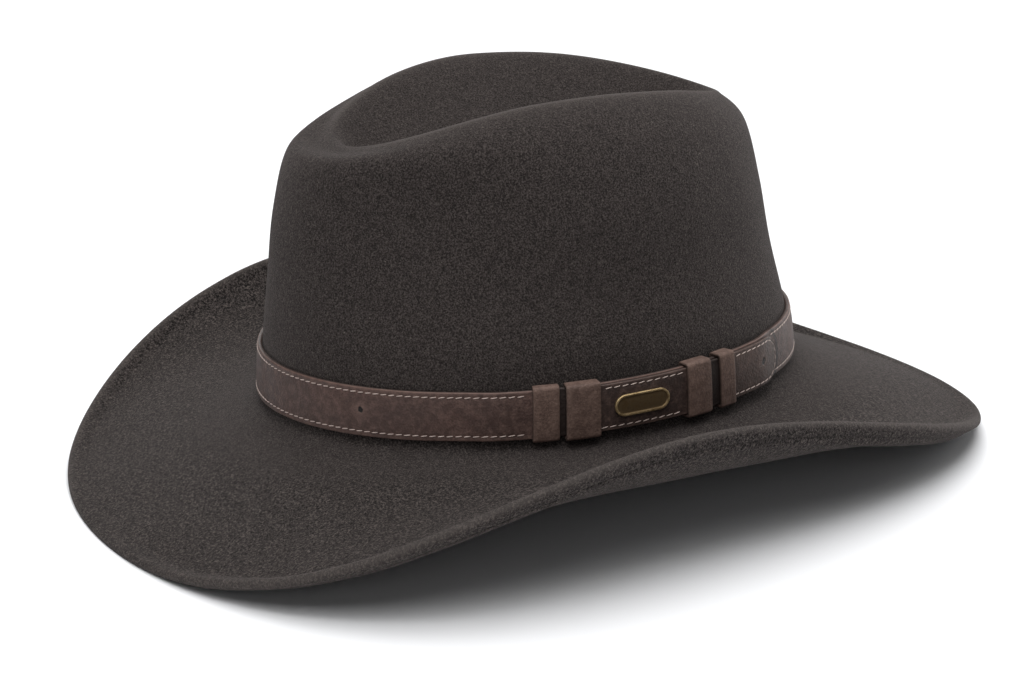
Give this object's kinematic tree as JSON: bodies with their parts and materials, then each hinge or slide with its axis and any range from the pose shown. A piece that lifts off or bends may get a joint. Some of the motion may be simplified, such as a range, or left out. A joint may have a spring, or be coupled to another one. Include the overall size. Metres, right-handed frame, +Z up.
{
  "type": "wool felt brimmed hat",
  "caption": "Wool felt hat with a creased, pinched crown, a wide shaped brim with a curled hem, and a stitched leather band with keepers.",
  "frame": {"origin": "on the surface that the hat rests on, under the middle of its outline", "axes": "+Z up, +Y to the back of the hat, +X to the wearer's left, where the band's keepers are"},
  "size_m": [0.3232, 0.353, 0.1474],
  "materials": {
    "wool_felt": "matt dark grey-brown wool felt",
    "band_leather": "waxed brown leather, stitched along both edges",
    "strap_leather": "smooth darker brown leather, stitched round its end",
    "keeper_leather": "soft brown leather with rounded folds",
    "antique_brass": "dull antique brass"
  },
  "bodies": {
    "root": {"felt_body": "wool_felt", "hat_band": "band_leather", "band_strap": "strap_leather", "keeper_1": "keeper_leather", "keeper_2": "keeper_leather", "keeper_3": "keeper_leather", "keeper_4": "keeper_leather", "brass_plate": "antique_brass"}
  },
  "joints": []
}
